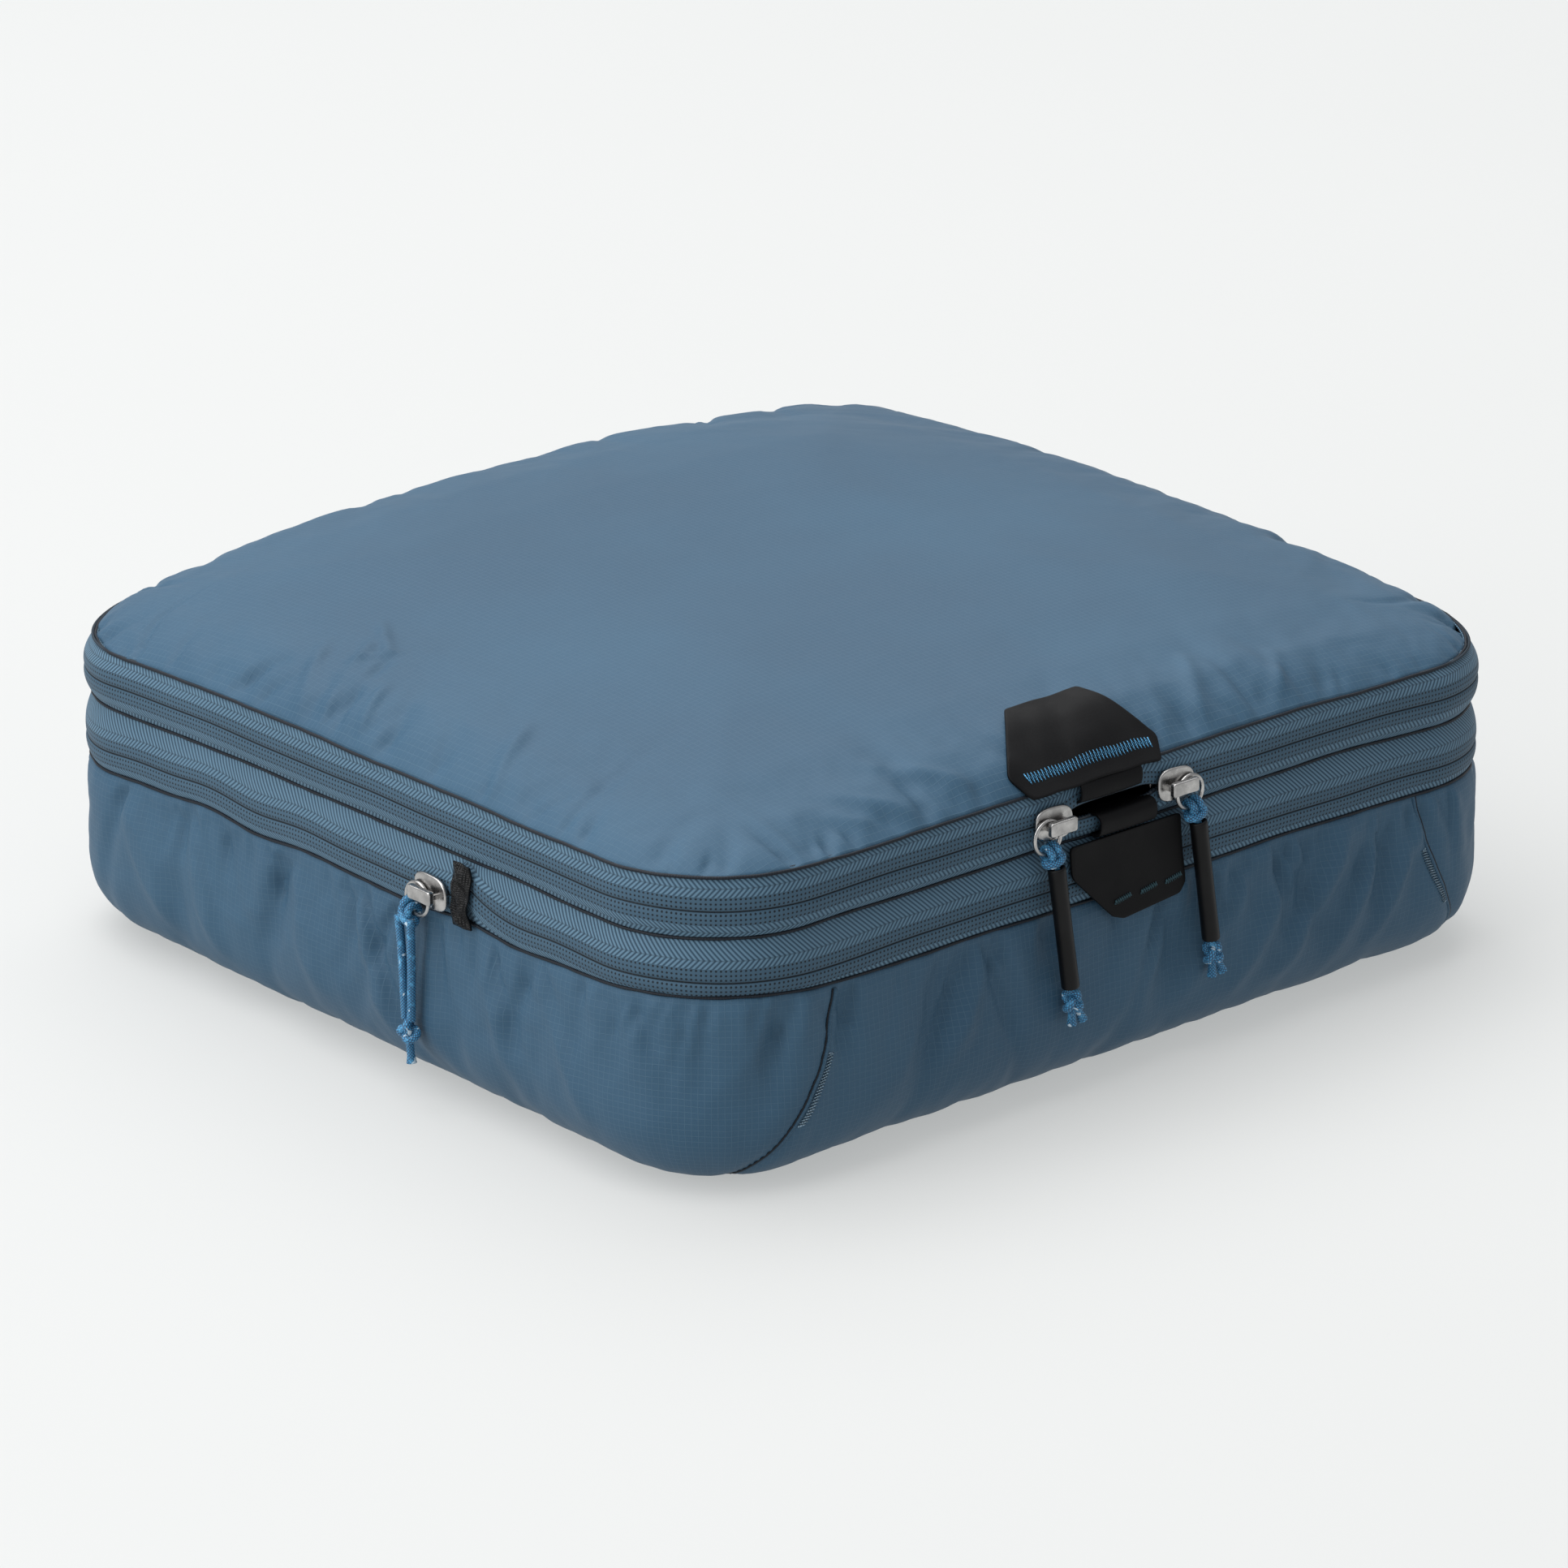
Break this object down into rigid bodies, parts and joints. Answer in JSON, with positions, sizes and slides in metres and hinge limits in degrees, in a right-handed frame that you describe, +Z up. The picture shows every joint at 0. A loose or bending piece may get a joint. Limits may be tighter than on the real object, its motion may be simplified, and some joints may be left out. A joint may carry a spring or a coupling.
{
  "type": "compression packing cube",
  "caption": "Soft square packing cube with a domed zip-open lid, a second zip that lets a gusset out for height, and cord pulls.",
  "frame": {"origin": "centre of the base's lower face", "axes": "+Z up; the front wall with the two tabs faces -Y; the compression slider is on the wall that faces -X"},
  "size_m": [0.3786, 0.3595, 0.1351],
  "materials": {
    "ripstop": "dusty slate-blue ripstop nylon with a slight sheen",
    "zip_tape": "slate-blue herringbone zip tape",
    "zip_coil": "slate-blue nylon coil",
    "binding": "dark woven seam binding",
    "bartack_thread": "slate-blue thread",
    "tab_black": "matte black rubber-coated fabric",
    "blue_thread": "bright blue thread",
    "teal_thread": "dark teal thread",
    "garage_webbing": "glossy black webbing",
    "nickel": "satin nickel",
    "cord_blue": "bright blue braided cord with pale flecks",
    "grip_black": "matte black moulded tube"
  },
  "bodies": {
    "lower_shell": {"centre_panel": "ripstop", "left_side_panel": "ripstop", "right_side_panel": "ripstop", "corner_bartacks": "bartack_thread", "wall_seam_binding": "binding", "compression_zip_lower_tape": "zip_tape", "compression_zip_lower_coil": "zip_coil"},
    "zip_ring": {"compression_zip_upper_tape": "zip_tape", "compression_zip_upper_coil": "zip_coil", "gusset": "ripstop", "main_zip_lower_tape": "zip_tape", "hinge_strip_lower": "ripstop", "main_zip_lower_coil": "zip_coil", "compression_zip_garage": "garage_webbing", "lower_tab_strap": "tab_black"},
    "lid": {"main_zip_upper_tape": "zip_tape", "hinge_strip_upper": "ripstop", "main_zip_upper_coil": "zip_coil", "top_panel": "ripstop", "lid_seam_binding": "binding", "upper_tab": "tab_black", "upper_tab_stitching": "blue_thread"},
    "tab_flap": {"lower_tab_flap": "tab_black", "lower_tab_stitches": "teal_thread"},
    "main_left_slider": {"main_left_slider_body": "nickel"},
    "main_left_ring": {"main_left_ring": "nickel"},
    "main_left_pull": {"main_left_cord": "cord_blue", "main_left_grip": "grip_black", "main_left_knot": "cord_blue"},
    "main_right_slider": {"main_right_slider_body": "nickel"},
    "main_right_ring": {"main_right_ring": "nickel"},
    "main_right_pull": {"main_right_cord": "cord_blue", "main_right_grip": "grip_black", "main_right_knot": "cord_blue"},
    "compression_slider": {"compression_slider_body": "nickel"},
    "compression_ring": {"compression_ring": "nickel"},
    "compression_pull": {"compression_cord": "cord_blue", "compression_knot": "cord_blue"}
  },
  "joints": [
    {"name": "expansion", "type": "slide", "parent": "lower_shell", "child": "zip_ring", "axis": [0, 0, 1], "range_m": [0, 0.045]},
    {"name": "lid_hinge", "type": "hinge", "parent": "zip_ring", "child": "lid", "pos_m": [0, 0.175, 0.098], "axis": [-1, 0, 0], "range_deg": [0, 170]},
    {"name": "tab_flap_lift", "type": "hinge", "parent": "zip_ring", "child": "tab_flap", "pos_m": [-0.007, -0.176, 0.0877], "axis": [-1, 0, 0], "range_deg": [0, 95]},
    {"name": "main_left_slide", "type": "slide", "parent": "zip_ring", "child": "main_left_slider", "axis": [-1, 0, 0], "range_m": [0, 0.085]},
    {"name": "main_left_ring_flip", "type": "hinge", "parent": "main_left_slider", "child": "main_left_ring", "pos_m": [-0.0385, -0.1782, 0.098], "axis": [-0.5946, 0, 0.804], "range_deg": [0, 90]},
    {"name": "main_left_pull_lift", "type": "hinge", "parent": "main_left_ring", "child": "main_left_pull", "pos_m": [-0.04153, -0.1782, 0.08934], "axis": [-0.9659, 0, -0.2588], "range_deg": [0, 90]},
    {"name": "main_right_slide", "type": "slide", "parent": "zip_ring", "child": "main_right_slider", "axis": [1, 0, 0], "range_m": [0, 0.11]},
    {"name": "main_right_ring_flip", "type": "hinge", "parent": "main_right_slider", "child": "main_right_ring", "pos_m": [0.015, -0.1782, 0.098], "axis": [-0.5946, 0, -0.804], "range_deg": [0, 90]},
    {"name": "main_right_pull_lift", "type": "hinge", "parent": "main_right_ring", "child": "main_right_pull", "pos_m": [0.0209, -0.1782, 0.08934], "axis": [-0.9659, 0, -0.2588], "range_deg": [0, 90]},
    {"name": "compression_slide", "type": "slide", "parent": "lower_shell", "child": "compression_slider", "axis": [0, 1, 0], "range_m": [0, 0.15]},
    {"name": "compression_ring_flip", "type": "hinge", "parent": "compression_slider", "child": "compression_ring", "pos_m": [-0.1882, -0.045, 0.074], "axis": [0, 0.5946, 0.804], "range_deg": [0, 90]},
    {"name": "compression_pull_lift", "type": "hinge", "parent": "compression_ring", "child": "compression_pull", "pos_m": [-0.1882, -0.03697, 0.06645], "axis": [0, 0.766, 0.6428], "range_deg": [0, 60]}
  ]
}
